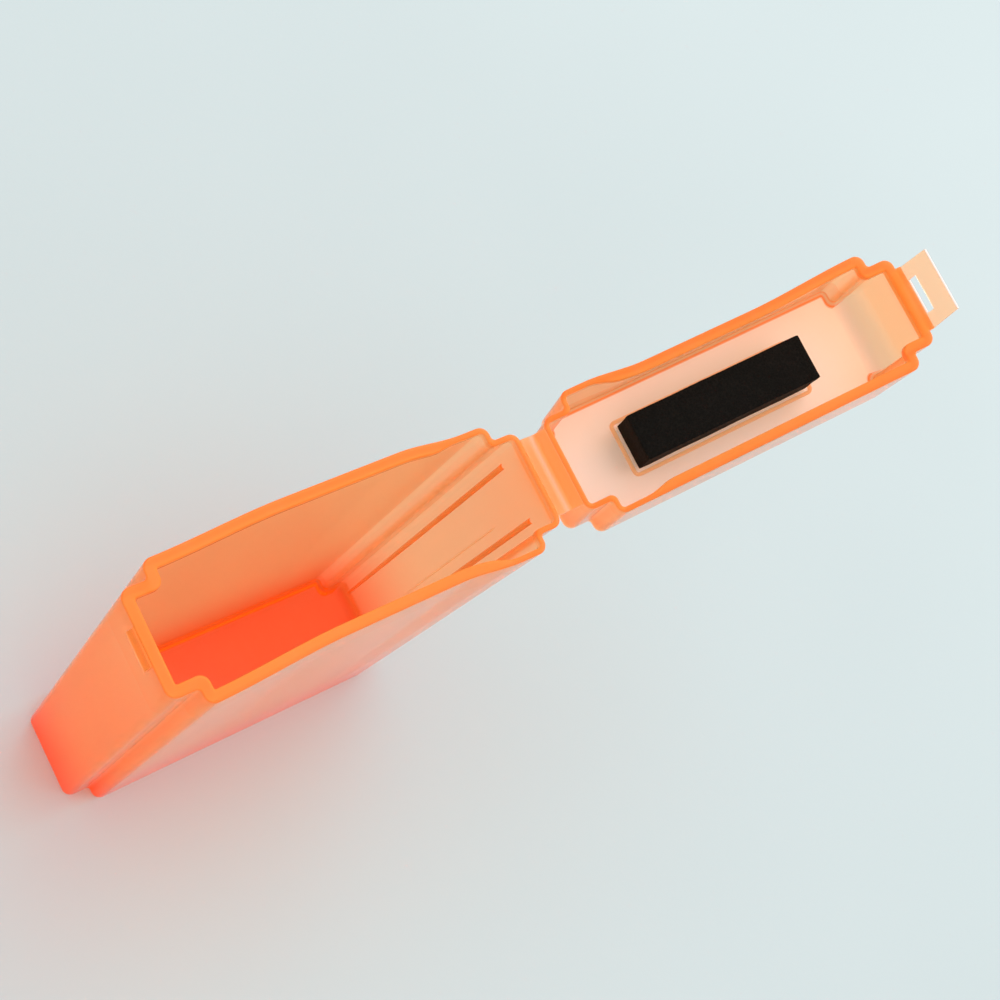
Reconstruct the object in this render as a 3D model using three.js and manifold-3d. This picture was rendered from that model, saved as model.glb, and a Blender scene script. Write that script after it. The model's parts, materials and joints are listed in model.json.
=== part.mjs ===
// Hinged insect-trap case: a deep catch tub and a shallow lid, moulded as one piece
// with a living hinge between them, and a black lure pad stuck inside the lid.
//
// Millimetres, +Z up. The origin is the centre of the tub's flat base. The tub stands
// upright with its rim at z = TUB_HEIGHT. +X points from the tub towards the lid.
// The lid is shown folded open; the hinge axis runs along Y.

import * as THREE from 'three';
import { mergeVertices } from 'three/addons/utils/BufferGeometryUtils.js';
import Module from 'manifold-3d';

// ---------------------------------------------------------------- driving dimensions

const LENGTH = 124;            // outside length of either half, along X
const WIDTH = 40;              // outside width across the long walls
const END_WIDTH = 30;          // outside width of the narrower end walls
const NOTCH = 8.2;             // length of each stepped corner
const CORNER_RADIUS = 3;       // outside radius of the convex vertical edges
const NOTCH_RADIUS = 1.2;      // outside radius of the concave vertical edges

const TUB_HEIGHT = 154;
const LID_DEPTH = 31;
const WALL = 1.3;
const FLOOR = 1.3;
const SEAM = 0.3;              // gap that separates neighbouring solids

const TUB_SWAY = 1.8;          // both long tub walls are warped this far towards +Y
const LID_FAR_SWAY = -1.8;     // the lid's +Y wall is warped inwards; its -Y wall is straight
const SWAY_START = [17, 37];   // distance from the hinge end over which the warp grows
const SWAY_END = [74, 115];    // and over which it fades again

const RIM_WIDTH = 3.3;         // width of the thickened rim, wall included
const RIM_DEPTH = 3;
const RIM_START = 22;          // the thickened rim stops this far from the hinge end

const HINGE_REACH = 4.3;       // from the hinge line to either half's end wall
const HINGE_WIDTH = 24.4;
const STRAP_THICKNESS = 1.4;
const WEB_HALF_WIDTH = 0.6;    // the thin web that bends lies this far each side of the line
const WEB_THICKNESS = 0.4;
const RIM_CLEARANCE = 0.15;    // each rim stops this far short of the hinge plane

const LID_LIFT = 17.6;         // degrees that the open lid stands above level

const RIB_OFFSET = 9;          // ribs on the hinge-end wall sit at +-Y
const RIB_WIDTH = 1.8;
const RIB_DEPTH = 1.1;
const RIB_TOP_DROP = 12.8;     // below the rim
const RIB_FOOT = 6;            // above the tub's base

const CATCH_WIDTH = 11;
const CATCH_HEIGHT = 3.7;
const CATCH_DEPTH = 1.1;
const CATCH_DROP = 0.5;        // from the rim plane down to the catch's top

const TAB_ROOT_WIDTH = 21.8;
const TAB_TIP_WIDTH = 20.4;
const TAB_HEIGHT = 15.6;       // above the rim plane
const TAB_THICKNESS = 0.8;
const TAB_STANDOFF = 1.7;      // from the lid's end wall to the tab's inner face
const TAB_ROOT_HEIGHT = 4;     // of the foot that joins the tab to the end wall
const TAB_FLEX_GAP = 0.6;
const SLOT_WIDTH = 11.8;
const SLOT_TOP = 4.6;          // above the rim plane; the foot closes the slot's lower end

const PAD_LENGTH = 63;
const PAD_WIDTH = 15.3;
const PAD_HEIGHT = 12.6;
const PAD_CENTRE = 61;         // from the lid's hinge end
const PAD_TAPE = 0.3;          // adhesive under the pad
const FRAME_MARGIN = 0.8;      // clear strip between the pad and its raised frame
const FRAME_WIDTH = 1.2;
const FRAME_HEIGHT = 0.5;
const FRAME_RADIUS = 2;

const ARC_STEPS = 5;           // segments in each rounded corner
const WALL_STEPS = 12;         // segments along each warped long wall

const HINGE_X = LENGTH / 2 + HINGE_REACH;
const HALF_WIDTH = WIDTH / 2;
const HALF_END = END_WIDTH / 2;

// ------------------------------------------------------------------------- materials

const CASE_ORANGE = 0xf98a4c;
const CASE_PALE = 0xf8c79c;
const PAD_BLACK = 0x151614;
const TAPE_WHITE = 0xe6e1d6;

function plastic(color) {
  return new THREE.MeshStandardMaterial({ color, roughness: 0.38, metalness: 0 });
}

function matt(color) {
  return new THREE.MeshStandardMaterial({ color, roughness: 0.9, metalness: 0 });
}

// --------------------------------------------------------------------- solid helpers

const wasm = await Module();
wasm.setup();

function toManifold(geometry) {
  const bare = geometry.index ? geometry.toNonIndexed() : geometry.clone();
  bare.deleteAttribute('normal');
  bare.deleteAttribute('uv');
  const merged = mergeVertices(bare, 1e-4);
  return new wasm.Manifold(new wasm.Mesh({
    numProp: 3,
    vertProperties: new Float32Array(merged.attributes.position.array),
    triVerts: new Uint32Array(merged.index.array),
  }));
}

function toGeometry(solid) {
  const mesh = solid.getMesh();
  const geometry = new THREE.BufferGeometry();
  geometry.setAttribute('position', new THREE.BufferAttribute(mesh.vertProperties, 3));
  geometry.setIndex(new THREE.BufferAttribute(mesh.triVerts, 1));
  geometry.computeVertexNormals();
  return geometry;
}

function subtract(body, ...tools) {
  let solid = toManifold(body);
  for (const tool of tools) {
    solid = solid.subtract(toManifold(tool));
  }
  return toGeometry(solid);
}

function intersect(first, second) {
  return toGeometry(toManifold(first).intersect(toManifold(second)));
}

// A closed outline in the XY plane, extruded from z = low to z = high.
function prism(points, low, high) {
  const geometry = new THREE.ExtrudeGeometry(new THREE.Shape(points), {
    depth: high - low,
    bevelEnabled: false,
  });
  return geometry.translate(0, 0, low);
}

function box(x, y, z) {
  const geometry = new THREE.BoxGeometry(x[1] - x[0], y[1] - y[0], z[1] - z[0]);
  return geometry.translate((x[0] + x[1]) / 2, (y[0] + y[1]) / 2, (z[0] + z[1]) / 2);
}

function part(name, geometry, material) {
  const mesh = new THREE.Mesh(geometry, material);
  mesh.name = name;
  return mesh;
}

// ------------------------------------------------------------------ the case outline

// The warp's size along a long wall: 0 at its ends and 1 along its middle.
function swayShape(distance) {
  const grow = THREE.MathUtils.smoothstep(distance, ...SWAY_START);
  const fade = THREE.MathUtils.smoothstep(distance, ...SWAY_END);
  return grow * (1 - fade);
}

// Replaces one corner of a polygon by an arc of the given radius.
function roundedCorner(before, corner, after, radius) {
  if (radius < 0.05) {
    return [corner];
  }
  const arrive = before.clone().sub(corner).normalize().multiplyScalar(radius);
  const leave = after.clone().sub(corner).normalize().multiplyScalar(radius);
  const centre = corner.clone().add(arrive).add(leave);
  const points = [];
  for (let step = 0; step <= ARC_STEPS; step++) {
    const turn = (step / ARC_STEPS) * Math.PI / 2;
    points.push(new THREE.Vector2(
      centre.x - leave.x * Math.cos(turn) - arrive.x * Math.sin(turn),
      centre.y - leave.y * Math.cos(turn) - arrive.y * Math.sin(turn),
    ));
  }
  return points;
}

// The stepped-corner plan of one half, drawn `inset` inside its outer face. Distances run
// from the hinge line; `way` is -1 for the tub and +1 for the lid.
function caseOutline(way, inset) {
  const start = HINGE_REACH + inset;
  const end = HINGE_REACH + LENGTH - inset;
  const stepStart = HINGE_REACH + NOTCH + inset;
  const stepEnd = HINGE_REACH + LENGTH - NOTCH - inset;
  const endY = HALF_END - inset;
  const sideY = HALF_WIDTH - inset;
  const convex = Math.max(CORNER_RADIUS - inset, 0.6);
  const concave = NOTCH_RADIUS + inset * 0.5;

  // Half of the outline, from the hinge end to the latch end, for one side of y = 0.
  const halfCorners = [
    { at: new THREE.Vector2(start, endY), radius: convex },
    { at: new THREE.Vector2(stepStart, endY), radius: concave },
    { at: new THREE.Vector2(stepStart, sideY), radius: convex },
    { at: new THREE.Vector2(stepEnd, sideY), radius: convex },
    { at: new THREE.Vector2(stepEnd, endY), radius: concave },
    { at: new THREE.Vector2(end, endY), radius: convex },
  ];
  const mirrored = halfCorners.map(({ at, radius }) => (
    { at: new THREE.Vector2(at.x, -at.y), radius }
  ));
  const corners = [...halfCorners, ...mirrored.reverse()];

  const rounded = corners.flatMap(({ at, radius }, index) => {
    const before = corners[(index + corners.length - 1) % corners.length].at;
    const after = corners[(index + 1) % corners.length].at;
    return roundedCorner(before, at, after, radius);
  });

  const outline = [];
  rounded.forEach((point, index) => {
    const next = rounded[(index + 1) % rounded.length];
    const isLongWall = Math.abs(next.x - point.x) > LENGTH / 2;
    const steps = isLongWall ? WALL_STEPS : 1;
    for (let step = 0; step < steps; step++) {
      outline.push(point.clone().lerp(next, step / steps));
    }
  });

  return outline.map((point) => new THREE.Vector2(way * point.x, point.y));
}

// Leans the long walls sideways in proportion to their height, so that the floor stays
// straight and the rim carries the whole warp.
function warpWalls(geometry, depth, nearSway, farSway) {
  const points = geometry.attributes.position;
  for (let index = 0; index < points.count; index++) {
    const y = points.getY(index);
    if (Math.abs(y) > HALF_END) {
      const along = swayShape(Math.abs(points.getX(index)) - HINGE_REACH);
      const up = (points.getZ(index) + depth) / depth;
      points.setY(index, y + (y > 0 ? farSway : nearSway) * along * up);
    }
  }
  return geometry;
}

// A solid block with the tub's or the lid's plan, drawn `inset` inside its outer face.
function tubBlock(inset, low, high) {
  return warpWalls(prism(caseOutline(-1, inset), low, high), TUB_HEIGHT, TUB_SWAY, TUB_SWAY);
}

function lidBlock(inset, low, high) {
  return warpWalls(prism(caseOutline(1, inset), low, high), LID_DEPTH, 0, LID_FAR_SWAY);
}

// The thickening inside the rim: a band that follows the walls from RIM_START to the
// latch end, just inside the shell.
function rimBand(block, way) {
  const ring = subtract(
    block(WALL + SEAM, -RIM_DEPTH, -RIM_CLEARANCE),
    block(RIM_WIDTH, -RIM_DEPTH - 1, 1),
  );
  const from = HINGE_REACH + RIM_START;
  const reach = HINGE_REACH + LENGTH;
  const span = way > 0 ? [from, reach] : [-reach, -from];
  return intersect(ring, box(span, [-WIDTH, WIDTH], [-2 * RIM_DEPTH, RIM_DEPTH]));
}

// ------------------------------------------------------------------------------- tub

// Tub pieces are drawn from the hinge line, with the rim plane at z = 0.
function tubShell() {
  return subtract(
    tubBlock(0, -TUB_HEIGHT, -RIM_CLEARANCE),
    tubBlock(WALL, -TUB_HEIGHT + FLOOR, 1),
  );
}

// A rib with a round top on the hinge-end wall, standing off it towards the inside.
function endRib(side) {
  const radius = RIB_WIDTH / 2;
  const top = -RIB_TOP_DROP - radius;
  const shape = new THREE.Shape();
  shape.moveTo(-radius, -TUB_HEIGHT + RIB_FOOT);
  shape.lineTo(radius, -TUB_HEIGHT + RIB_FOOT);
  shape.lineTo(radius, top);
  shape.absarc(0, top, radius, 0, Math.PI, false);
  shape.closePath();
  const rib = new THREE.ExtrudeGeometry(shape, {
    depth: RIB_DEPTH,
    bevelEnabled: false,
    curveSegments: 8,
  });
  rib.rotateX(Math.PI / 2);
  rib.rotateZ(-Math.PI / 2);
  return rib.translate(-HINGE_REACH - WALL - SEAM, side * RIB_OFFSET, 0);
}

// The wedge below the latch-end rim that the lid's tab snaps over.
function catchWedge() {
  const shape = new THREE.Shape();
  shape.moveTo(0, 0);
  shape.lineTo(CATCH_DEPTH * 0.3, 0);
  shape.lineTo(CATCH_DEPTH, -CATCH_HEIGHT * 0.6);
  shape.lineTo(CATCH_DEPTH, -CATCH_HEIGHT);
  shape.lineTo(0, -CATCH_HEIGHT);
  shape.closePath();
  const wedge = new THREE.ExtrudeGeometry(shape, { depth: CATCH_WIDTH, bevelEnabled: false });
  wedge.rotateX(Math.PI / 2);
  wedge.rotateZ(Math.PI);
  return wedge.translate(-HINGE_REACH - LENGTH - SEAM, -CATCH_WIDTH / 2, -CATCH_DROP);
}

// -------------------------------------------------------------------------- the hinge

// One of the two flat straps that carry the web; `way` is -1 for the tub, +1 for the lid.
function hingeStrap(way) {
  const near = way * (WEB_HALF_WIDTH + SEAM);
  const far = way * (HINGE_REACH - SEAM);
  return box(
    [Math.min(near, far), Math.max(near, far)],
    [-HINGE_WIDTH / 2, HINGE_WIDTH / 2],
    [-RIM_CLEARANCE - STRAP_THICKNESS, -RIM_CLEARANCE],
  );
}

function hingeWeb() {
  return box(
    [-WEB_HALF_WIDTH, WEB_HALF_WIDTH],
    [-HINGE_WIDTH / 2, HINGE_WIDTH / 2],
    [-RIM_CLEARANCE - WEB_THICKNESS, -RIM_CLEARANCE],
  );
}

// ------------------------------------------------------------------------------- lid

// Lid pieces are drawn as if the lid lay level, hollow side up, rim plane at z = 0.
function lidShell() {
  return subtract(
    lidBlock(0, -LID_DEPTH, -RIM_CLEARANCE),
    lidBlock(WALL, -LID_DEPTH + FLOOR, 1),
  );
}

const LID_FLOOR_Z = -LID_DEPTH + FLOOR;
const PAD_X = HINGE_REACH + PAD_CENTRE;

function roundedRectangle(length, width, radius) {
  const reach = length / 2 - radius;
  const side = width / 2 - radius;
  const quarter = Math.PI / 2;
  const shape = new THREE.Shape();
  shape.absarc(PAD_X + reach, side, radius, 0, quarter, false);
  shape.absarc(PAD_X - reach, side, radius, quarter, 2 * quarter, false);
  shape.absarc(PAD_X - reach, -side, radius, 2 * quarter, 3 * quarter, false);
  shape.absarc(PAD_X + reach, -side, radius, 3 * quarter, 4 * quarter, false);
  return shape.getPoints(6);
}

// The low raised border on the lid's floor that the pad stands inside.
function padFrame() {
  const inner = 2 * FRAME_MARGIN;
  const outer = inner + 2 * FRAME_WIDTH;
  const low = LID_FLOOR_Z + SEAM;
  return subtract(
    prism(
      roundedRectangle(PAD_LENGTH + outer, PAD_WIDTH + outer, FRAME_RADIUS),
      low,
      low + FRAME_HEIGHT,
    ),
    prism(
      roundedRectangle(PAD_LENGTH + inner, PAD_WIDTH + inner, FRAME_RADIUS - FRAME_WIDTH),
      low - 1,
      low + FRAME_HEIGHT + 1,
    ),
  );
}

function padTape() {
  const low = LID_FLOOR_Z + SEAM;
  const halfLength = PAD_LENGTH / 2 - 1;
  const halfWidth = PAD_WIDTH / 2 - 1;
  return box(
    [PAD_X - halfLength, PAD_X + halfLength],
    [-halfWidth, halfWidth],
    [low, low + PAD_TAPE],
  );
}

function lurePad() {
  const low = LID_FLOOR_Z + SEAM + PAD_TAPE + SEAM;
  return box(
    [PAD_X - PAD_LENGTH / 2, PAD_X + PAD_LENGTH / 2],
    [-PAD_WIDTH / 2, PAD_WIDTH / 2],
    [low, low + PAD_HEIGHT],
  );
}

const TAB_X = HINGE_REACH + LENGTH + TAB_STANDOFF;

// The foot that carries the latch tab clear of the end wall.
function tabRoot() {
  return box(
    [HINGE_REACH + LENGTH + SEAM, TAB_X + TAB_THICKNESS],
    [-TAB_ROOT_WIDTH / 2, TAB_ROOT_WIDTH / 2],
    [-TAB_ROOT_HEIGHT - RIM_CLEARANCE, -RIM_CLEARANCE],
  );
}

// The springy tab, drawn in the YZ plane and thick along X: two legs that rise from the
// foot on both sides of the slot, and a plate across them.
function latchTab() {
  const low = -RIM_CLEARANCE + TAB_FLEX_GAP;
  const shape = new THREE.Shape();
  shape.moveTo(-TAB_ROOT_WIDTH / 2, low);
  shape.lineTo(-SLOT_WIDTH / 2, low);
  shape.lineTo(-SLOT_WIDTH / 2, SLOT_TOP);
  shape.lineTo(SLOT_WIDTH / 2, SLOT_TOP);
  shape.lineTo(SLOT_WIDTH / 2, low);
  shape.lineTo(TAB_ROOT_WIDTH / 2, low);
  shape.lineTo(TAB_TIP_WIDTH / 2, TAB_HEIGHT);
  shape.lineTo(-TAB_TIP_WIDTH / 2, TAB_HEIGHT);
  shape.closePath();
  const tab = new THREE.ExtrudeGeometry(shape, { depth: TAB_THICKNESS, bevelEnabled: false });
  tab.rotateX(Math.PI / 2);
  tab.rotateZ(Math.PI / 2);
  return tab.translate(TAB_X, 0, 0);
}

// -------------------------------------------------------------------------- assembly

const tub = new THREE.Group();
tub.position.set(HINGE_X, 0, TUB_HEIGHT);
tub.add(
  part('tub_shell', tubShell(), plastic(CASE_ORANGE)),
  part('tub_rim', rimBand(tubBlock, -1), plastic(CASE_ORANGE)),
  part('tub_catch', catchWedge(), plastic(CASE_ORANGE)),
  part('end_rib_far', endRib(1), plastic(CASE_ORANGE)),
  part('end_rib_near', endRib(-1), plastic(CASE_ORANGE)),
  part('tub_hinge_strap', hingeStrap(-1), plastic(CASE_PALE)),
  part('hinge_web', hingeWeb(), plastic(CASE_PALE)),
);

const lid = new THREE.Group();
lid.position.set(HINGE_X, 0, TUB_HEIGHT);
lid.rotation.y = -THREE.MathUtils.degToRad(LID_LIFT);
lid.add(
  part('lid_hinge_strap', hingeStrap(1), plastic(CASE_PALE)),
  part('lid_shell', lidShell(), plastic(CASE_ORANGE)),
  part('lid_rim', rimBand(lidBlock, 1), plastic(CASE_ORANGE)),
  part('pad_frame', padFrame(), plastic(CASE_PALE)),
  part('pad_tape', padTape(), matt(TAPE_WHITE)),
  part('lure_pad', lurePad(), matt(PAD_BLACK)),
  part('latch_root', tabRoot(), plastic(CASE_PALE)),
  part('latch_tab', latchTab(), plastic(CASE_PALE)),
);

const trapCase = new THREE.Group();
trapCase.add(tub, lid);

export default trapCase;
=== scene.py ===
"""A hinged insect-trap case: frosted orange tub, folded-open lid, latch tab and black lure pad.

Shapes are worked out in millimetres in two "half" frames that share the hinge line:
u runs from the hinge line into the half, y along the hinge, z up from the rim plane.
The tub's u points to -X. The lid's u points to +X and is lifted by the open lid's angle.
"""

import json
import math

import bmesh
import bpy
from mathutils import Matrix, Vector, noise


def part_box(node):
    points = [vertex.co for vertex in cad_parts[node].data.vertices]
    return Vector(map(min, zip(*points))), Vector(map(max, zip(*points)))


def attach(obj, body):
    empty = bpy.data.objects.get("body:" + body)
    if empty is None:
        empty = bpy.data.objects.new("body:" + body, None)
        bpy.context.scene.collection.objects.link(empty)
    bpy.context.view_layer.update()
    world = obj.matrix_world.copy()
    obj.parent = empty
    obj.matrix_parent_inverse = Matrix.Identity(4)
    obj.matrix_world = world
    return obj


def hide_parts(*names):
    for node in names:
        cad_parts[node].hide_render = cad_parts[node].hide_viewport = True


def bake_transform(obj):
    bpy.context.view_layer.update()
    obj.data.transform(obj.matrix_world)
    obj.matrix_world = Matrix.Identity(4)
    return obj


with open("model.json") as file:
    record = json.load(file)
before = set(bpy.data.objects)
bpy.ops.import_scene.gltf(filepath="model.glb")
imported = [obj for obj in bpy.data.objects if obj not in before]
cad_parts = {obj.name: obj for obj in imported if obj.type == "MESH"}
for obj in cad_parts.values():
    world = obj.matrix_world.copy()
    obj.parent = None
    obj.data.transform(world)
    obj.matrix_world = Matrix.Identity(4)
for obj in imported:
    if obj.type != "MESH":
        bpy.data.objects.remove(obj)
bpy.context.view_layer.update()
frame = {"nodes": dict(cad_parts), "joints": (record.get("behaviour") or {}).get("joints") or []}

# ------------------------------------------------------------- dimensions, millimetres

MM = 0.001

HINGE_JOINT = next(j for j in frame["joints"] if j["name"] == "lid_hinge")
HINGE = Vector(HINGE_JOINT["pos_m"]) / MM
LID_LIFT = math.radians(180 - HINGE_JOINT["range_deg"][1])


def box_mm(node):
    low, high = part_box(node)
    return low / MM, high / MM


TUB_LOW, TUB_HIGH = box_mm("tub_shell")
LENGTH = TUB_HIGH.x - TUB_LOW.x
REACH = HINGE.x - TUB_HIGH.x           # from the hinge line to either end wall
TUB_DEPTH = HINGE.z
TUB_TOP = TUB_HIGH.z - HINGE.z         # the rims stop just short of the hinge plane
HALF_WIDTH = -box_mm("lid_shell")[0].y
HINGE_HALF = box_mm("hinge_web")[1].y
CATCH_LOW, CATCH_HIGH = box_mm("tub_catch")

LID_DEPTH = 31
HALF_END = 15                          # half the width of the narrower end walls
NOTCH = 8.2                            # length of each stepped corner
WALL = 1.3
FLOOR = 1.3
CORNER = 3                             # outside radius of the convex vertical edges
CORNER_INSIDE = 1.2                    # and of the concave ones
SMALLEST_RADIUS = 0.6

RIM = 3.3                              # thickened rim, wall included
THIN_RIM = WALL + 0.4                  # the rim near the hinge
RIM_DEPTH = 3
RIM_GROWTH = (19, 27)                  # from the hinge end, where the rim turns thick
RIM_EDGE = 0.5                         # rounding of the rim's outer edge
LIP_EDGE = 0.6                         # and of its inner edge
BASE_EDGE = 0.9                        # rounding round the base, outside
TUB_FILLETS = (2.2, 5.0)               # inside, along the floor: general, at the hinge end
LID_FILLETS = (1.6, 8.5)               # general, at the latch end
LID_BASE_EDGES = (BASE_EDGE, LID_FILLETS[1] + WALL)

SWAY = 1.8                             # how far the warped long walls lean at the rim
SWAY_GROWTH = (17, 37)                 # from the hinge end, where the warp grows
SWAY_FADE = (74, 115)                  # and where it fades

RIB_OFFSET = 9                         # of each rib from the middle of the end wall
RIB_RADIUS = 0.9
RIB_STAND = 1.3
RIB_DROP = 12.8                        # of its top below the rim
RIB_FOOT = 2                           # of its foot above the floor

FLOW_Y = -4.2                          # the moulding line on the hinge-end wall
FLOW_TOP = -33
FLOW_LENGTH = 77
FLOW_HALF_WIDTH = 0.35
FLOW_STAND = 0.3

STRAP = 1.4                            # thickness of the hinge straps

TAB_STANDOFF = 1.7                     # from the lid's latch-end wall to the tab
TAB_INNER = REACH + LENGTH + TAB_STANDOFF
TAB_THICK = 0.8
TAB_TIP = 15.6                         # heights count from the rim plane
TAB_FOOT = TUB_TOP - 4
TAB_ROOT_HALF = 10.9                   # half the tab's width at its root
TAB_TAPER = 0.7                        # how much less that is at the tip
TAB_EDGE = 0.16                        # bevel
SLOT_HALF = 5.9
SLOT_LOW, SLOT_TOP = 0.0, 4.6

LID_FLOOR = -LID_DEPTH + FLOOR
PAD_CENTRE = REACH + 61
PAD_HALF_LENGTH, PAD_HALF_WIDTH, PAD_HEIGHT = 31.5, 7.65, 12.6
PAD_EDGE = 0.45
PAD_LIFT = 0.9                         # of the pad's underside above the lid's floor
PAD_BOW = 0.125                        # how far the sides sink in at half their height
PAD_PORES = 0.05                       # depth of the fine unevenness of its faces
PAD_WAVES = 0.08                       # and of the broad one
FRAME_MARGIN = 0.8                     # clear strip between the pad and its frame

ARC_STEPS = 7
WALL_STEPS = 44
GLOW_LEVELS = 20                       # steps in which the edge glow is stored
SHARP_ANGLE = math.radians(50)         # edges that turn by more stay sharp


# ----------------------------------------------------------------- placing half frames

def tub_point(u, y, z):
    return Vector((HINGE.x - u, y, HINGE.z + z)) * MM


def lid_point(u, y, z):
    along = Vector((math.cos(LID_LIFT), 0, math.sin(LID_LIFT)))
    lift = Vector((-math.sin(LID_LIFT), 0, math.cos(LID_LIFT)))
    return (HINGE + along * u + lift * z + Vector((0, y, 0))) * MM


def smooth(value, low, high):
    t = min(max((value - low) / (high - low), 0), 1)
    return t * t * (3 - 2 * t)


# ---------------------------------------------------------------------- plan outlines

def rounded_corner(before, at, after, radius):
    arrive = (before - at).normalized() * radius
    leave = (after - at).normalized() * radius
    centre = at + arrive + leave
    turns = [step / ARC_STEPS * math.pi / 2 for step in range(ARC_STEPS + 1)]
    return [centre - leave * math.cos(t) - arrive * math.sin(t) for t in turns]


def outline(inset):
    """The stepped-corner plan as (u, y) points, drawn inset inside the outer face."""
    start = REACH + inset
    end = REACH + LENGTH - inset
    step_start = start + NOTCH
    step_end = end - NOTCH
    end_y = HALF_END - inset
    side_y = HALF_WIDTH - inset
    convex = max(CORNER - inset, SMALLEST_RADIUS)
    concave = CORNER_INSIDE + inset / 2
    one_side = [
        (Vector((start, end_y)), convex),
        (Vector((step_start, end_y)), concave),
        (Vector((step_start, side_y)), convex),
        (Vector((step_end, side_y)), convex),
        (Vector((step_end, end_y)), concave),
        (Vector((end, end_y)), convex),
    ]
    other_side = [(Vector((at.x, -at.y)), radius) for at, radius in reversed(one_side)]
    corners = one_side + other_side
    count = len(corners)
    points = []
    for index, (at, radius) in enumerate(corners):
        before = corners[index - 1][0]
        after = corners[(index + 1) % count][0]
        turn = rounded_corner(before, at, after, radius)
        points.extend(turn)
        if abs(after.x - at.x) > LENGTH / 2:
            after_next = corners[(index + 2) % count][0]
            target = rounded_corner(at, after, after_next, corners[(index + 1) % count][1])[0]
            for step in range(1, WALL_STEPS):
                points.append(turn[-1].lerp(target, step / WALL_STEPS))
    return points


class Half:
    """One half of the case: how its walls lean, how deep it is and where it sits."""

    def __init__(self, place, depth, near_sway, far_sway):
        self.place = place
        self.depth = depth
        self.near_sway = near_sway
        self.far_sway = far_sway

    def warped(self, u, y, z):
        distance = u - REACH
        along = smooth(distance, *SWAY_GROWTH) * (1 - smooth(distance, *SWAY_FADE))
        up = (z + self.depth) / self.depth
        if abs(y) > HALF_END - WALL:
            y += (self.far_sway if y > 0 else self.near_sway) * along * up
        return self.place(u, y, z)

    def ring(self, station, weight, widens):
        """One loop of the section: station is ((inset, z) at weight 0, (inset, z) at 1).

        Unless the loop widens, the weight moves points along the case only.
        """
        (inset_a, z_a), (inset_b, z_b) = station
        points = []
        for outer, a, b in zip(outline(0), outline(inset_a), outline(inset_b)):
            share = weight(outer.x)
            at = a.lerp(b, share)
            y = at.y if widens else a.y
            points.append(self.warped(at.x, y, z_a + (z_b - z_a) * share))
        return points


TUB = Half(tub_point, TUB_DEPTH, SWAY, SWAY)
LID = Half(lid_point, LID_DEPTH, 0, -SWAY)


# -------------------------------------------------------------------------- mesh tools

def new_object(name, mesh):
    obj = bpy.data.objects.new(name, mesh)
    bpy.context.scene.collection.objects.link(obj)
    return obj


def add_glow_slots(mesh):
    """Face by face, the material index carries the edge glow through boolean joins."""
    for _ in range(GLOW_LEVELS + 1):
        mesh.materials.append(None)


def mesh_from(name, vertices, faces, glows):
    """A mesh with outward faces; glows says how much light pipes out of each face, 0 to 1."""
    bm = bmesh.new()
    made = [bm.verts.new(v) for v in vertices]
    for index, face in enumerate(faces):
        new_face = bm.faces.new([made[i] for i in face])
        new_face.material_index = round(glows[index] * GLOW_LEVELS)
    bmesh.ops.recalc_face_normals(bm, faces=bm.faces)
    mesh = bpy.data.meshes.new(name)
    add_glow_slots(mesh)
    bm.to_mesh(mesh)
    bm.free()
    return new_object(name, mesh)


def loft(name, rings, glows=None):
    """A closed solid through rings of equally many points, with a flat cap at each end.

    glows holds one edge glow per ring, or one list per ring with a glow for each point.
    """
    count = len(rings[0])
    glows = glows or [0] * len(rings)
    rows = [glow if isinstance(glow, list) else [glow] * count for glow in glows]
    vertices = [point for ring in rings for point in ring]
    faces = [list(range(count))]
    face_glows = [rows[0][0]]
    for level in range(len(rings) - 1):
        for i in range(count):
            j = (i + 1) % count
            a, b = level * count, (level + 1) * count
            faces.append([a + i, a + j, b + j, b + i])
            corners = rows[level][i], rows[level][j], rows[level + 1][i], rows[level + 1][j]
            face_glows.append(sum(corners) / 4)
    faces.append([(len(rings) - 1) * count + i for i in reversed(range(count))])
    face_glows.append(rows[-1][0])
    return mesh_from(name, vertices, faces, face_glows)


def join_solids(base, tools):
    """Unites the tools with the base and deletes them."""
    for tool in tools:
        modifier = base.modifiers.new("join", "BOOLEAN")
        modifier.operation = "UNION"
        modifier.solver = "EXACT"
        modifier.object = tool
    evaluated = base.evaluated_get(bpy.context.evaluated_depsgraph_get())
    joined = bpy.data.meshes.new_from_object(evaluated)
    base.modifiers.clear()
    base.data = joined
    for tool in tools:
        bpy.data.objects.remove(tool)
    return base


def finish_piece(obj, material):
    """Moves the edge glow into its attribute and sets the material, shading and slot."""
    mesh = obj.data
    levels = [polygon.material_index for polygon in mesh.polygons]
    glow = mesh.attributes.new("edge_glow", "FLOAT", "FACE")
    glow.data.foreach_set("value", [level / GLOW_LEVELS for level in levels])
    mesh.polygons.foreach_set("material_index", [0] * len(mesh.polygons))
    mesh.materials.clear()
    mesh.materials.append(material)
    mesh.polygons.foreach_set("use_smooth", [True] * len(mesh.polygons))
    mesh.set_sharp_from_angle(angle=SHARP_ANGLE)
    weighted = obj.modifiers.new("flat faces stay flat", "WEIGHTED_NORMAL")
    weighted.keep_sharp = True
    weighted.weight = 80
    return obj


# -------------------------------------------------------------------- the two mouldings

def arc(centre_inset, centre_z, radius, first, last, steps=4):
    """(inset, z) points on a round edge; angles in degrees, 0 towards the inside."""
    points = []
    for step in range(steps + 1):
        angle = math.radians(first + (last - first) * step / steps)
        points.append((
            centre_inset + radius * math.cos(angle),
            centre_z + radius * math.sin(angle),
        ))
    return points


def rim_weight(u):
    """0 where the rim is thin, 1 where it is thick."""
    return smooth(u, REACH + RIM_GROWTH[0], REACH + RIM_GROWTH[1])


def hinge_end_weight(u):
    """1 at the hinge-end wall, 0 beyond the stepped corners next to it."""
    return 1 - smooth(u, REACH + 1, REACH + NOTCH)


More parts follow.
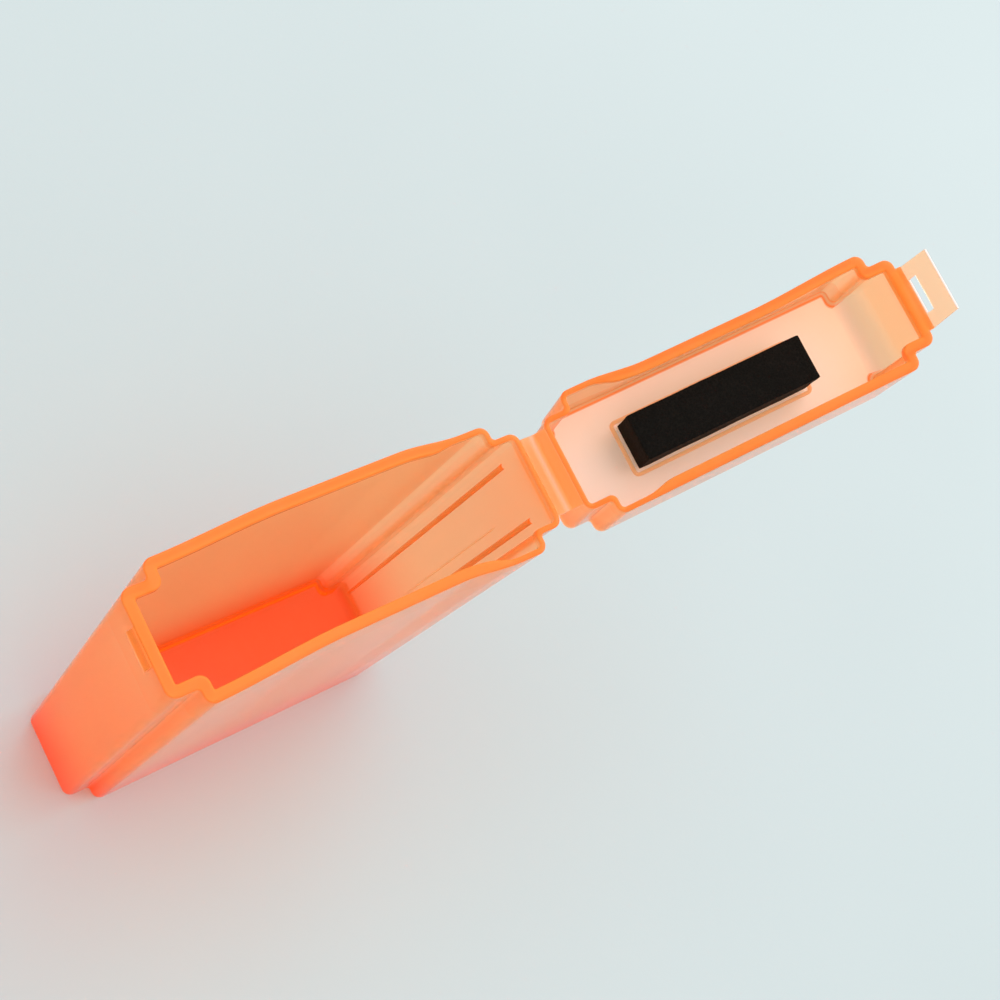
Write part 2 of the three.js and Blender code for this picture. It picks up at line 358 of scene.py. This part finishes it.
def latch_end_weight(u):
    """1 at the latch-end wall, 0 before the stepped corners next to it."""
    return smooth(u, REACH + LENGTH - NOTCH, REACH + LENGTH - 1)


def shell(name, half, fillet_weight, fillets, base_edges):
    """Outer wall, rounded rim, thickened lip, inner wall and filleted floor of one half.

    fillets and base_edges each hold two radii, for fillet_weight 0 and 1. The lists of
    glows hold one edge glow for each ring.
    """
    depth = half.depth
    top = TUB_TOP
    plan = outline(0)
    rings, glows = [], []

    def add_rim(stations, station_glows):
        for station, glow in zip(stations, station_glows):
            rings.append(half.ring(station, rim_weight, widens=True))
            glows.append(glow)

    def add_foot(stations, station_glows):
        for station, glow in zip(stations, station_glows):
            rings.append(half.ring(station, fillet_weight, widens=False))
            glows.append([glow * (1 - fillet_weight(at.x)) for at in plan])

    bases = [arc(r, -depth + r, r, 270, 180, 6) for r in base_edges]
    for base, r in zip(bases, base_edges):
        low, high = -depth + r, -RIM_DEPTH
        base.extend((0, low + (high - low) * share) for share in (0.3, 0.6, 0.9))
    base_glow = [0, 0.7, 0.9, 1, 0.9, 0.5, 0, 0, 0, 0]
    add_foot(zip(*bases), base_glow)
    edge = arc(RIM_EDGE, top - RIM_EDGE, RIM_EDGE, 180, 90)
    add_rim([(point, point) for point in edge], [0.25, 0.3, 0.35, 0.35, 0.35])

    lip_thin = arc(THIN_RIM - LIP_EDGE, top - LIP_EDGE, LIP_EDGE, 90, 0)
    lip_thin += [
        (THIN_RIM, top - 1.6),
        (THIN_RIM, top - 2.2),
        (WALL + 0.1, top - 2.7),
        (WALL, top - 3.4),
    ]
    lip_thick = arc(RIM - LIP_EDGE, top - LIP_EDGE, LIP_EDGE, 90, 0)
    lip_thick += [
        (RIM, -RIM_DEPTH + 0.8),
        (RIM - 0.35, -RIM_DEPTH + 0.15),
        (WALL + 0.5, -RIM_DEPTH - 0.5),
        (WALL, -RIM_DEPTH - 1.4),
    ]
    lip_glow = [0.35, 0.4, 0.5, 0.55, 0.45] + [0.2, 0.15, 0.1, 0]
    add_rim(zip(lip_thin, lip_thick), lip_glow)

    floor = -depth + FLOOR
    inner_low = floor + max(fillets) + 1
    inner_high = -RIM_DEPTH - 2
    walls = [(WALL, inner_low + (inner_high - inner_low) * share) for share in (1, 0.6, 0.3, 0)]
    add_foot([(point, point) for point in walls], [0] * 4)
    arcs = [arc(WALL + r, floor + r, r, 180, 270, 8) for r in fillets]
    fillet_glow = [0.4, 0.8, 0.6, 0.3, 0.3, 0.6, 1.0, 1.0, 0]
    add_foot(zip(*arcs), fillet_glow)
    return loft(name, rings, glows)


def end_rib(side):
    """A half-round rib on the tub's hinge-end wall, rounded off at its top."""
    top, foot = -RIB_DROP, -TUB_DEPTH + FLOOR + RIB_FOOT
    face = REACH + WALL
    buried = face - 0.5
    middle = side * RIB_OFFSET
    rings = []
    arc_steps = 12
    cap_steps = 5
    cap_start = 8                      # degrees; a cap from 0 would end in a single point

    def section(z, scale):
        points = []
        for step in range(arc_steps + 1):
            angle = math.pi * step / arc_steps
            u = face + RIB_STAND * scale * math.sin(angle)
            points.append(tub_point(u, middle + RIB_RADIUS * scale * math.cos(angle), z))
        points.append(tub_point(buried, middle - RIB_RADIUS * scale, z))
        points.append(tub_point(buried, middle + RIB_RADIUS * scale, z))
        return points

    for step in range(cap_steps + 1):
        angle = math.radians(cap_start + (90 - cap_start) * step / cap_steps)
        rings.append(section(top - RIB_RADIUS * (1 - math.sin(angle)), math.sin(angle) ** 0.5))
    rings.append(section(-TUB_DEPTH * 0.4, 1))
    rings.append(section(-TUB_DEPTH * 0.7, 0.9))
    rings.append(section(foot, 0.6))
    return loft("rib", rings, [0.6] * 7 + [0.45, 0.3])


def catch_wedge():
    """The wedge on the tub's latch-end wall that the lid's tab snaps over.

    The profile holds (distance from the wall, height); its sides are drawn in a little.
    """
    face = REACH + LENGTH
    stand = TUB_LOW.x - CATCH_LOW.x
    low, high = CATCH_LOW.z - HINGE.z, CATCH_HIGH.z - HINGE.z
    middle = (low + high) / 2
    half_width = CATCH_HIGH.y
    buried = -0.6
    profile = [(buried, high), (stand * 0.3, high), (stand * 0.55, high - 0.9)]
    profile += [(stand, low + 1.3), (stand, low + 0.25), (stand - 0.25, low), (buried, low)]
    rings = []
    for y, shrink in ((-1, 0.35), (-0.97, 0), (0.97, 0), (1, 0.35)):
        ring = []
        for stand_off, z in profile:
            u = face + (stand_off - shrink if stand_off > 0 else stand_off)
            ring.append(tub_point(u, y * half_width, middle + (z - middle) * (1 - shrink * 0.1)))
        rings.append(ring)
    return loft("catch", rings, [0.3] * len(rings))


def flow_line():
    """A thin raised line that the mould left on the tub's hinge-end wall."""
    face = REACH + WALL
    buried = face - 0.3
    rings = []
    for share, scale in ((0, 0.3), (0.04, 1), (0.9, 1), (1, 0.3)):
        z = FLOW_TOP - FLOW_LENGTH * share
        half_width = FLOW_HALF_WIDTH * scale
        stand = FLOW_STAND * scale
        rings.append([
            tub_point(buried, FLOW_Y - half_width, z),
            tub_point(face, FLOW_Y - half_width, z),
            tub_point(face + stand * 0.8, FLOW_Y - half_width * 0.5, z),
            tub_point(face + stand, FLOW_Y, z),
            tub_point(face + stand * 0.8, FLOW_Y + half_width * 0.5, z),
            tub_point(face, FLOW_Y + half_width, z),
            tub_point(buried, FLOW_Y + half_width, z),
        ])
    return loft("flow_line", rings)


def rounded_rectangle(half_length, half_width, radius, steps=6):
    points = []
    for quarter, (su, sy) in enumerate(((1, 1), (-1, 1), (-1, -1), (1, -1))):
        for step in range(steps + 1):
            angle = (quarter + step / steps) * math.pi / 2
            points.append((
                su * (half_length - radius) + radius * math.cos(angle),
                sy * (half_width - radius) + radius * math.sin(angle),
            ))
    return points


def pad_frame():
    """The low raised border on the lid's floor, as a closed band with a rounded top.

    The profile holds (distance outwards, height above the floor).
    """
    profile = [(0, -0.4), (0, 0.45), (0.15, 0.68), (0.45, 0.8)]
    profile += [(0.75, 0.8), (1.05, 0.68), (1.2, 0.45), (1.2, -0.4)]
    loops = []
    for out, height in profile:
        gap = FRAME_MARGIN + out
        loop = rounded_rectangle(PAD_HALF_LENGTH + gap, PAD_HALF_WIDTH + gap, gap)
        loops.append([lid_point(PAD_CENTRE + u, y, LID_FLOOR + height) for u, y in loop])
    count = len(loops[0])
    vertices = [point for loop in loops for point in loop]
    faces = []
    for level in range(len(loops)):
        nxt = (level + 1) % len(loops)
        for i in range(count):
            j = (i + 1) % count
            faces.append([level * count + i, level * count + j, nxt * count + j, nxt * count + i])
    return mesh_from("pad_frame_band", vertices, faces, [0.3] * len(faces))


def latch_foot():
    """The foot on the lid's latch-end wall that carries the tab."""
    wall = REACH + LENGTH
    buried = wall - 0.7
    heel = TAB_FOOT - 0.9
    profile = [(buried, TUB_TOP), (TAB_INNER, TUB_TOP), (TAB_INNER, TAB_FOOT)]
    profile += [(wall + 0.5, heel), (buried, heel)]
    rings = [[lid_point(u, y, z) for u, z in profile] for y in (-TAB_ROOT_HALF, TAB_ROOT_HALF)]
    return loft("latch_foot", rings, [0.35] * len(rings))


# ------------------------------------------------------------- hinge, latch tab and pad

def hinge_ribbon():
    """Both straps and the thin web between them, as one strip.

    The profile holds (u, depth of the upper face, depth of the lower face) below the rim.
    """
    half_profile = [(REACH - 0.02, 0, STRAP), (REACH * 0.75, 0, STRAP), (1.7, 0, STRAP)]
    half_profile += [(1.3, 0.03, STRAP - 0.05), (1.0, 0.12, STRAP - 0.35), (0.8, 0.2, 0.95)]
    half_profile += [(0.6, 0.24, 0.72), (0.3, 0.26, 0.6), (0.12, 0.26, 0.58)]
    stations = [(tub_point, *item) for item in half_profile]
    stations.append((tub_point, 0, 0.26, 0.58))
    stations += [(lid_point, *item) for item in reversed(half_profile)]
    across = [-1, -0.985, -0.5, 0, 0.5, 0.985, 1]
    chamfer = 0.15
    rings = []
    for place, u, sink, depth in stations:
        top, low = TUB_TOP - sink, TUB_TOP - depth
        ring = []
        for share in across:
            drop = chamfer if abs(share) == 1 else 0
            ring.append(place(u, share * HINGE_HALF, top - drop))
        for share in reversed(across):
            rise = chamfer if abs(share) == 1 else 0
            ring.append(place(u, share * HINGE_HALF, low + rise))
        rings.append(ring)
    return loft("living_hinge", rings, [0.25] * len(rings))


def latch_tab():
    """The slotted tab, from its foot to its tip, as one plate."""
    def half_width(z):
        return TAB_ROOT_HALF - TAB_TAPER * (z - TAB_FOOT) / (TAB_TIP - TAB_FOOT)

    levels = [TAB_FOOT, -2.5, -1.2, -0.6, SLOT_LOW, 0.8, 2.0, 3.4, SLOT_TOP, 6.5, 9, 12, TAB_TIP]
    bm = bmesh.new()
    grid = []
    for z in levels:
        width = half_width(z)
        ys = [-width, -width * 0.78, -SLOT_HALF, 0, SLOT_HALF, width * 0.78, width]
        grid.append([bm.verts.new((TAB_INNER, y, z)) for y in ys])
    for row in range(len(levels) - 1):
        for column in range(6):
            in_slot = column in (2, 3) and SLOT_LOW <= levels[row] < SLOT_TOP
            if in_slot:
                continue
            bm.faces.new([
                grid[row][column], grid[row][column + 1],
                grid[row + 1][column + 1], grid[row + 1][column],
            ])
    loose = [v for v in bm.verts if not v.link_faces]
    bmesh.ops.delete(bm, geom=loose, context="VERTS")
    front = list(bm.faces)
    extruded = bmesh.ops.extrude_face_region(bm, geom=front)
    moved = [item for item in extruded["geom"] if isinstance(item, bmesh.types.BMVert)]
    bmesh.ops.translate(bm, vec=(TAB_THICK, 0, 0), verts=moved)
    bmesh.ops.recalc_face_normals(bm, faces=bm.faces)
    sharp = [e for e in bm.edges if len(e.link_faces) == 2 and e.calc_face_angle() > 0.5]
    bmesh.ops.bevel(bm, geom=sharp, offset=TAB_EDGE, segments=3, affect="EDGES", profile=0.5)
    for vertex in bm.verts:
        vertex.co = lid_point(*vertex.co)
    mesh = bpy.data.meshes.new("latch_tab_plate")
    bm.to_mesh(mesh)
    bm.free()
    return new_object("latch_tab_plate", mesh)


def foam_pad():
    """A block cut from closed-cell foam: soft edges, slightly hollow sides, uneven faces."""
    low = LID_FLOOR + PAD_LIFT
    half = Vector((PAD_HALF_LENGTH, PAD_HALF_WIDTH, PAD_HEIGHT / 2))
    bm = bmesh.new()
    bmesh.ops.create_cube(bm, size=2)
    bmesh.ops.subdivide_edges(bm, edges=bm.edges, cuts=15, use_grid_fill=True)
    long_edges = [e for e in bm.edges if abs(e.verts[0].co.x - e.verts[1].co.x) > 0.01]
    bmesh.ops.subdivide_edges(bm, edges=long_edges, cuts=4, use_grid_fill=False)
    for vertex in bm.verts:
        at = vertex.co.copy()
        bow = PAD_BOW * (1 - abs(at.z)) * max(abs(at.x), abs(at.y))
        point = Vector((at.x * half.x, at.y * half.y, at.z * half.z))
        inner = Vector([max(min(p, h - PAD_EDGE), PAD_EDGE - h) for p, h in zip(point, half)])
        out = point - inner
        outward = out.normalized()
        if out.length > PAD_EDGE:
            point = inner + outward * PAD_EDGE
        if abs(at.y) > 0.99 or abs(at.x) > 0.99:
            point -= Vector((at.x, at.y, 0)) * bow
        pores = noise.noise(point * 1.7) + 0.6 * noise.noise(point * 4.1)
        wave = noise.noise(point * 0.12 + Vector((5, 3, 1)))
        point += outward * (PAD_PORES * pores + PAD_WAVES * wave)
        vertex.co = lid_point(PAD_CENTRE + point.x, point.y, low + half.z + point.z)
    mesh = bpy.data.meshes.new("foam_pad")
    bm.to_mesh(mesh)
    bm.free()
    return new_object("foam_pad", mesh)


# --------------------------------------------------------------------------- materials

def srgb(red, green, blue):
    def linear(value):
        value /= 255
        return value / 12.92 if value <= 0.04045 else ((value + 0.055) / 1.055) ** 2.4
    return (linear(red), linear(green), linear(blue), 1)


class Graph:
    """A small helper that adds nodes to a material and wires them up."""

    def __init__(self, name):
        self.material = bpy.data.materials.new(name)
        self.material.use_nodes = True
        self.tree = self.material.node_tree
        self.tree.nodes.clear()
        self.output = self.tree.nodes.new("ShaderNodeOutputMaterial")

    def add(self, kind, **inputs):
        node = self.tree.nodes.new("ShaderNode" + kind)
        for key, value in inputs.items():
            socket = self.socket(node, key)
            if isinstance(value, bpy.types.NodeSocket):
                self.tree.links.new(value, socket)
            else:
                socket.default_value = value
        return node

    @staticmethod
    def socket(node, key):
        """in0, in1 and so on count the inputs; other keys name them, with _ for a space."""
        if key.startswith("in") and key[2:].isdigit():
            return node.inputs[int(key[2:])]
        return node.inputs[key.replace("_", " ")]

    def finish(self, shader, socket="Surface"):
        self.tree.links.new(shader.outputs[0], self.output.inputs[socket])

    def mix(self, share, first, second):
        return self.add("MixShader", in0=share, in1=first.outputs[0], in2=second.outputs[0])

    def math(self, operation, first, second):
        node = self.add("Math", in0=first, in1=second)
        node.operation = operation
        return node.outputs[0]

    def product(self, first, *others):
        for other in others:
            first = self.math("MULTIPLY", first, other)
        return first

    def rest_of(self, share):
        return self.math("SUBTRACT", 1.0, share)

    def linear(self, value, factor, offset):
        """value * factor + offset."""
        node = self.add("Math", in0=value, in1=factor, in2=offset)
        node.operation = "MULTIPLY_ADD"
        return node.outputs[0]

    def ramp(self, value, stops):
        node = self.add("ValToRGB", in0=value)
        elements = node.color_ramp.elements
        while len(elements) < len(stops):
            elements.new(0.5)
        for element, (position, colour) in zip(elements, stops):
            element.position = position
            element.color = colour
        return node.outputs[0]


BLACK = (0, 0, 0, 1)
WHITE = (1, 1, 1, 1)

PLASTIC_IOR = 1.30
CLEAR_ROUGHNESS = (0.12, 0.30)         # pairs are the factor and the offset for linear()
SHEEN_ROUGHNESS = (0.06, 0.22)
MILK = (0.35, 0.28)                    # share of the light that the wall scatters
MILK_BACK = 0.40                       # share of that which comes back out

DEEP_FROM, DEEP_TO = 0.075, -0.02      # heights in metres over which the colour deepens, a painted shade towards the foot
THROUGH_TINTS = [(0.0, (1.0, 0.88, 0.70, 1)), (1.0, (1.0, 0.13, 0.02, 1))]
BACK_TINTS = [(0.0, (1.0, 0.50, 0.18, 1)), (1.0, (1.0, 0.07, 0.005, 1))]

# A painted highlight: a pale diffuse on faces that look up, standing in for the reflection of the
# overhead light; scuffs whiten a little more.
PAINTED_HIGHLIGHT_TINT = (0.96, 0.98, 1.0, 1)
PAINTED_HIGHLIGHT = 0.66
HIGHLIGHT_FROM, HIGHLIGHT_TO = 0.55, 0.95      # how far a face looks up, from none of the painted highlight to all of it
EDGE_CUT = 8.0                         # the painted highlight is gone from a glow of 1 / EDGE_CUT on
SCUFF_WHITENING = 0.02

GLOW_TINT = (1.0, 0.27, 0.025, 1)
GLOW_MOST = 0.9                        # share of the look that an edge glow of 1 takes

SHEEN_IOR = 1.35
SHEEN_POWER = 1.6
SHEEN_LEAST = 0.005

PASSING_TINT = (0.98, 0.92, 0.87, 1)
PASSING_BOUNCED = 0.65                 # share of the rays off matt surfaces that pass

VOLUME_TINT = (0.99, 0.52, 0.0, 1)     # the light that the volume absorbs least
DENSITY = 540.0
# Painted glow: an emission in the volume that stands in for light scattered inside the wall.
SCATTER_GLOW_TINT = (1.0, 0.68, 0.02, 1)
SCATTER_GLOW = 36.0


def mould_texture(g, place):
    """The normal of the frosted surface, a cloudy noise and scattered scuffs."""
    grain = g.add("TexNoise", Vector=place, Scale=2600.0, Detail=3.0, Roughness=0.6)
    flow_map = g.add("Mapping", Vector=place, Scale=(14.0, 60.0, 8.0))
    flow = g.add("TexNoise", Vector=flow_map.outputs[0], Scale=2.2, Detail=1.0)
    cloud = g.add("TexNoise", Vector=place, Scale=28.0, Detail=3.0).outputs[0]
    scuff_map = g.add("Mapping", Vector=place, Scale=(220.0, 60.0, 90.0))
    scuff_map.inputs["Rotation"].default_value = (0.3, 0.5, 0.9)
    scuff = g.add("TexNoise", Vector=scuff_map.outputs[0], Scale=1.2, Detail=5.0, Roughness=0.6)
    scuffs = g.ramp(scuff.outputs[0], [(0.5, BLACK), (0.8, WHITE)])
    bump = g.add("Bump", Height=grain.outputs[0], Distance=0.00003, Strength=0.25)
    wavy = g.add("Bump", Height=flow.outputs[0], Distance=0.0004, Strength=0.05)
    g.tree.links.new(bump.outputs[0], wavy.inputs["Normal"])
    return wavy.outputs[0], cloud, scuffs


def plastic_wall(g, inside, normal, cloud, deep):
    """The bare wall: partly clear but rough, partly milky."""
    rough = g.linear(cloud, *CLEAR_ROUGHNESS)
    optics = {"Color": WHITE, "Roughness": rough, "IOR": PLASTIC_IOR, "Normal": normal}
    glass = g.mix(inside, g.add("BsdfRefraction", **optics), g.add("BsdfGlass", **optics))
    # The tints follow deep: a painted shade that reddens the wall towards the foot.
    through = g.add("BsdfTranslucent", Color=g.ramp(deep, THROUGH_TINTS))
    back = g.add("BsdfDiffuse", Color=g.ramp(deep, BACK_TINTS))
    milky = g.mix(MILK_BACK, through, back)
    return g.mix(g.linear(deep, *MILK), glass, milky)


def plastic_volume(g):
    """Absorption, and a painted glow: an emission that stands in for the light that scatters
    inside the wall.

    Rays that have bounced off a matt surface do not see the glow, so it lights nothing else.
    """
    bounced = g.add("LightPath").outputs["Is Diffuse Ray"]
    absorb = g.add("VolumeAbsorption", Color=VOLUME_TINT, Density=DENSITY)
    strength = g.product(g.rest_of(bounced), SCATTER_GLOW)
    scatter_glow = g.add("Emission", Color=SCATTER_GLOW_TINT, Strength=strength)
    return g.add("AddShader", in0=absorb.outputs[0], in1=scatter_glow.outputs[0])


def frosted_plastic(name):
    """Frosted translucent polypropylene: a milky wall with painted shade at the foot, a painted
    highlight, glowing edges and sheen.
    """
    g = Graph(name)
    place = g.add("TexCoord").outputs["Object"]
    normal, cloud, scuffs = mould_texture(g, place)
    surface = g.add("NewGeometry")
    inside = surface.outputs["Backfacing"]
    outside = g.rest_of(inside)

    # Painted shade: the plastic is made a deeper red towards the foot of the tub, standing in
    # for light that has crossed many walls to get there.
    height = g.add("SeparateXYZ", Vector=place).outputs["Z"]
    lowness = g.add("MapRange", Value=height, From_Min=DEEP_FROM, From_Max=DEEP_TO)
    lowness.interpolation_type = "SMOOTHSTEP"
    deep = lowness.outputs[0]
    wall = plastic_wall(g, inside, normal, cloud, deep)

    # Painted highlight: a pale diffuse is laid on faces that look up, away from the foot and
    # from edges that glow, in place of the reflection of the overhead light. Scuffs add to it.
    edge_glow = g.add("Attribute")
    edge_glow.attribute_name = "edge_glow"
    glow = edge_glow.outputs["Fac"]
    facing = g.add("SeparateXYZ", Vector=surface.outputs["Normal"]).outputs["Z"]
    upward = g.add("MapRange", Value=facing, From_Min=HIGHLIGHT_FROM, From_Max=HIGHLIGHT_TO, To_Max=PAINTED_HIGHLIGHT)
    plain = g.rest_of(g.math("MINIMUM", g.product(glow, EDGE_CUT), 1.0))
    painted_highlight = g.product(upward.outputs[0], g.rest_of(deep), plain, outside)
    highlight_and_scuffs = g.math("ADD", painted_highlight, g.product(scuffs, SCUFF_WHITENING))
    highlit_and_scuffed = g.mix(highlight_and_scuffs, wall, g.add("BsdfDiffuse", Color=PAINTED_HIGHLIGHT_TINT))

    # Light piped along the walls leaves at the edges.
    glow_share = g.product(glow, outside, GLOW_MOST)
    body = g.mix(glow_share, highlit_and_scuffed, g.add("BsdfDiffuse", Color=GLOW_TINT))

    gloss = g.add("BsdfGlossy", Color=WHITE, Roughness=g.linear(cloud, *SHEEN_ROUGHNESS))
    gloss.distribution = "MULTI_GGX"
    fresnel = g.add("Fresnel", IOR=SHEEN_IOR).outputs[0]
    shine = g.math("ADD", g.math("POWER", fresnel, SHEEN_POWER), SHEEN_LEAST)
    coated = g.mix(g.product(shine, outside), body, gloss)

    # Shadow rays pass straight through, and so do most rays that bounced off a matt surface.
    ray = g.add("LightPath")
    bounced = g.product(ray.outputs["Is Diffuse Ray"], PASSING_BOUNCED)
    passing = g.math("MAXIMUM", ray.outputs["Is Shadow Ray"], bounced)
    g.finish(g.mix(passing, coated, g.add("BsdfTransparent", Color=PASSING_TINT)))
    g.finish(plastic_volume(g), "Volume")
    return g.material


def foam_material():
    """Matt black closed-cell foam with open pores."""
    g = Graph("foam")
    place = g.add("TexCoord").outputs["Object"]
    cells = g.add("TexVoronoi", Vector=place, Scale=1500.0)
    fine = g.add("TexNoise", Vector=place, Scale=900.0, Detail=5.0, Roughness=0.7)
    broad = g.add("TexNoise", Vector=place, Scale=60.0, Detail=2.0)
    mixed = g.product(cells.outputs["Distance"], fine.outputs[0])
    shades = [(0.05, (0.0012, 0.0013, 0.0011, 1)), (0.45, (0.0058, 0.006, 0.0052, 1))]
    tints = [(0.4, (0.85, 0.9, 0.85, 1)), (0.65, (1.1, 1.02, 1.0, 1))]
    colour = g.ramp(mixed, shades)
    tint = g.ramp(broad.outputs[0], tints)
    tinted = g.add("MixRGB", in0=1.0, in1=colour, in2=tint)
    tinted.blend_type = "MULTIPLY"
    bump = g.add("Bump", Height=mixed, Distance=0.0003, Strength=0.7)
    foam = g.add("BsdfPrincipled", Base_Color=tinted.outputs[0], Roughness=0.93)
    foam.inputs["Specular IOR Level"].default_value = 0.12
    foam.inputs["Sheen Weight"].default_value = 0.02
    g.tree.links.new(bump.outputs[0], foam.inputs["Normal"])
    g.finish(foam)
    return g.material


def tape_material():
    """Fibrous off-white adhesive film."""
    g = Graph("adhesive_film")
    place = g.add("TexCoord").outputs["Object"]
    fibres = g.add("TexNoise", Vector=place, Scale=700.0, Detail=4.0).outputs[0]
    shades = [(0.3, (0.62, 0.58, 0.48, 1)), (0.7, (0.85, 0.82, 0.74, 1))]
    bump = g.add("Bump", Height=fibres, Distance=0.0001, Strength=0.4).outputs[0]
    colour = g.ramp(fibres, shades)
    g.finish(g.add("BsdfPrincipled", Base_Color=colour, Roughness=0.45, Normal=bump))
    return g.material


def table_material():
    """Pale matt paper-like table."""
    g = Graph("table")
    place = g.add("TexCoord").outputs["Object"]
    soft = g.add("TexNoise", Vector=place, Scale=3.0, Detail=2.0).outputs[0]
    colour = g.ramp(soft, [(0.3, srgb(186, 197, 198)), (0.7, srgb(190, 201, 202))])
    paper = g.add("TexNoise", Vector=place, Scale=900.0, Detail=3.0).outputs[0]
    bump = g.add("Bump", Height=paper, Distance=0.00005, Strength=0.3).outputs[0]
    g.finish(g.add("BsdfDiffuse", Color=colour, Normal=bump))
    return g.material


# ------------------------------------------------------------------------ build the case

case_plastic = frosted_plastic("case_plastic")

tub = shell(
    "tub_moulding",
    TUB,
    fillet_weight=hinge_end_weight,
    fillets=TUB_FILLETS,
    base_edges=(BASE_EDGE, BASE_EDGE),
)
join_solids(tub, [end_rib(1), end_rib(-1), catch_wedge(), flow_line()])
finish_piece(tub, case_plastic)
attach(tub, "tub")
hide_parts("tub_shell", "tub_rim", "tub_catch", "end_rib_far", "end_rib_near")

lid = shell(
    "lid_moulding",
    LID,
    fillet_weight=latch_end_weight,
    fillets=LID_FILLETS,
    base_edges=LID_BASE_EDGES,
)
join_solids(lid, [pad_frame(), latch_foot()])
finish_piece(lid, case_plastic)
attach(lid, "lid")
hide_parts("lid_shell", "lid_rim", "pad_frame", "latch_root")

hinge = finish_piece(hinge_ribbon(), case_plastic)
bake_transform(hinge)
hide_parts("hinge_web", "tub_hinge_strap", "lid_hinge_strap")

tab = finish_piece(latch_tab(), case_plastic)
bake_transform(tab)
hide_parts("latch_tab")

pad = finish_piece(foam_pad(), foam_material())
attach(pad, "lid")
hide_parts("lure_pad")

tape = frame["nodes"]["pad_tape"]
tape.data.materials.clear()
tape.data.materials.append(tape_material())

# ---------------------------------------------------------------- floor, light and camera

TABLE_HALF = 3.0
TABLE_GAP = 0.0003                     # the table is just below the case, so faces do not fight
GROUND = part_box("tub_shell")[0].z - TABLE_GAP

ground_mesh = bpy.data.meshes.new("table")
ground_mesh.from_pydata(
    [(x * TABLE_HALF, y * TABLE_HALF, GROUND) for x, y in ((-1, -1), (1, -1), (1, 1), (-1, 1))],
    [],
    [(0, 1, 2, 3)],
)
ground = new_object("table", ground_mesh)
ground.data.materials.append(table_material())

WORLD_STRENGTH = 0.83
world = bpy.data.worlds.new("studio")
bpy.context.scene.world = world
world.use_nodes = True
background = world.node_tree.nodes["Background"]
background.inputs["Color"].default_value = WHITE
background.inputs["Strength"].default_value = WORLD_STRENGTH

WINDOW_PLACE = Vector((1.9, 0.5, 2.4))
WINDOW_AIM = Vector((0.05, 0, 0.08))
WINDOW_SIZE = 4.0
WINDOW_POWER = 100.0
window_light = bpy.data.lights.new("window", "AREA")
window_light.size = WINDOW_SIZE
window_light.energy = WINDOW_POWER
window = new_object("window", window_light)
window.location = WINDOW_PLACE
window.rotation_euler = (WINDOW_AIM - WINDOW_PLACE).to_track_quat("-Z", "Y").to_euler()

CAMERA_PLACE = Vector((-0.16312, -0.04768, 0.49988))
CAMERA_AIM = Vector((0.0801, 0.0069, 0.1))
CAMERA_ROLL = math.radians(52.02)
CAMERA_LENS = 52.32                    # millimetres, for the sensor width below
SENSOR_WIDTH = 36
CAMERA_SHIFT = -0.004
NEAR_CLIP = 0.01
camera = new_object("camera", bpy.data.cameras.new("camera"))
look = (CAMERA_AIM - CAMERA_PLACE).to_track_quat("-Z", "Y").to_matrix().to_4x4()
roll = Matrix.Rotation(CAMERA_ROLL, 4, "Z")
camera.matrix_world = Matrix.Translation(CAMERA_PLACE) @ look @ roll
camera.data.sensor_width = SENSOR_WIDTH
camera.data.lens = CAMERA_LENS
camera.data.shift_y = CAMERA_SHIFT
camera.data.clip_start = NEAR_CLIP
bpy.context.scene.camera = camera
bpy.context.scene.view_settings.view_transform = "Standard"
